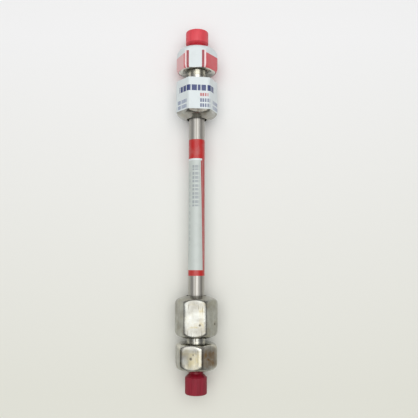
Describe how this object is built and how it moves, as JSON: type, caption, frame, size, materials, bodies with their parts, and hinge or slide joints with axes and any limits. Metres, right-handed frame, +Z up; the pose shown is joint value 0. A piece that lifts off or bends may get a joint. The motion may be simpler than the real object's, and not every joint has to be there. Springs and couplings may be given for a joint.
{
  "type": "hplc column",
  "caption": "Slim steel chromatography column lying on its side, a labelled straight tube with a hex nut, domed hex end fitting and red port plug at each end.",
  "frame": {"origin": "middle of the tube, on its axis", "axes": "+Y along the tube towards the inlet end, +Z up with the column lying on its hexes, +X to the right of the inlet direction seen from above"},
  "size_m": [0.0172, 0.1462, 0.0166],
  "materials": {
    "tube_steel": "drawn and polished",
    "hex_steel": "turned and polished, lightly scratched",
    "ferrule_steel": "turned",
    "sintered_steel": "porous sinter",
    "packed_silica": "fine packed powder",
    "seal_resin": "smooth moulded",
    "tube_label_paper": "coated, printed in red and grey",
    "hex_label_paper": "coated, printed in red and blue",
    "light_red_plastic": "smooth moulded, satin",
    "dark_red_plastic": "ribbed moulded, satin"
  },
  "bodies": {
    "column": {"column_tube": "tube_steel", "packed_bed": "packed_silica", "tube_label": "tube_label_paper", "inlet_back_ferrule": "ferrule_steel", "inlet_front_ferrule": "ferrule_steel", "outlet_back_ferrule": "ferrule_steel", "outlet_front_ferrule": "ferrule_steel"},
    "inlet_nut": {"inlet_nut": "hex_steel", "inlet_nut_label": "hex_label_paper"},
    "inlet_fitting": {"inlet_end_fitting": "hex_steel", "inlet_frit": "sintered_steel", "inlet_frit_ring": "seal_resin", "inlet_fitting_label": "hex_label_paper"},
    "inlet_plug": {"inlet_plug": "light_red_plastic"},
    "outlet_nut": {"outlet_nut": "hex_steel"},
    "outlet_fitting": {"outlet_end_fitting": "hex_steel", "outlet_frit": "sintered_steel", "outlet_frit_ring": "seal_resin"},
    "outlet_plug": {"outlet_plug": "dark_red_plastic"}
  },
  "joints": [
    {"name": "inlet_nut_turn", "type": "hinge", "parent": "column", "child": "inlet_nut", "pos_m": [0, 0.0437, 0], "axis": [0, -1, 0], "range_deg": [0, 3600]},
    {"name": "inlet_fitting_draw", "type": "slide", "parent": "column", "child": "inlet_fitting", "axis": [0, 1, 0], "range_m": [0, 0.0106]},
    {"name": "inlet_plug_draw", "type": "slide", "parent": "inlet_fitting", "child": "inlet_plug", "axis": [0, 1, 0], "range_m": [0, 0.009]},
    {"name": "outlet_nut_turn", "type": "hinge", "parent": "column", "child": "outlet_nut", "pos_m": [0, -0.0437, 0], "axis": [0, 1, 0], "range_deg": [0, 3600]},
    {"name": "outlet_fitting_draw", "type": "slide", "parent": "column", "child": "outlet_fitting", "axis": [0, -1, 0], "range_m": [0, 0.0106]},
    {"name": "outlet_plug_draw", "type": "slide", "parent": "outlet_fitting", "child": "outlet_plug", "axis": [0, -1, 0], "range_m": [0, 0.009]}
  ],
  "couplings": [
    {"joint": "inlet_fitting_draw", "follows": "inlet_nut_turn", "m_per_rad": 0.00016844},
    {"joint": "outlet_fitting_draw", "follows": "outlet_nut_turn", "m_per_rad": 0.00016844}
  ]
}
